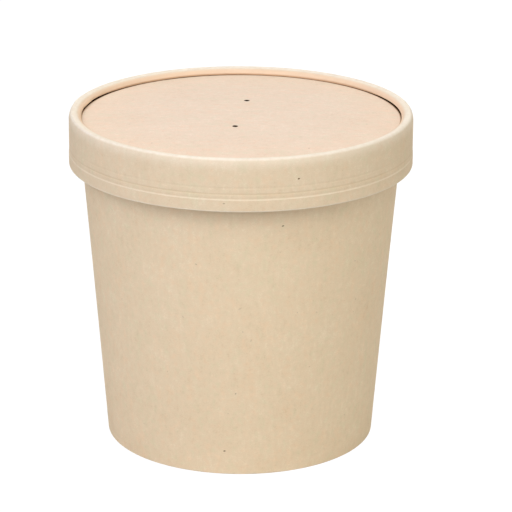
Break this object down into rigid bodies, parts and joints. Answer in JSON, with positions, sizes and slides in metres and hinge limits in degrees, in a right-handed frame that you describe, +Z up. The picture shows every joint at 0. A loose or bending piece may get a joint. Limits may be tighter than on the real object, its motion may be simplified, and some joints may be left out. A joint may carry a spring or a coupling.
{
  "type": "paper soup cup with lid",
  "caption": "Tapered kraft paperboard soup cup with a rolled rim and a recessed base, closed by a press-on paper lid with a recessed, vented panel.",
  "frame": {"origin": "centre of the bottom fold's ring, on the surface that the cup stands on", "axes": "+Z up along the axis of the cup and its lid; +X to the right and -Y towards the viewer in the picture"},
  "size_m": [0.102, 0.102, 0.0998],
  "materials": {
    "cup_board": "plain kraft, matte outside",
    "base_board": "plain kraft, matte underneath",
    "panel_board": "plain kraft, matte",
    "strip_board": "plain kraft, matte"
  },
  "bodies": {
    "cup": {"cup_sidewall": "cup_board", "cup_base": "base_board"},
    "lid": {"lid_panel": "panel_board", "lid_rim": "strip_board"}
  },
  "joints": [
    {"name": "lid_lift", "type": "slide", "parent": "cup", "child": "lid", "axis": [0, 0, 1], "range_m": [0, 0.06]}
  ]
}
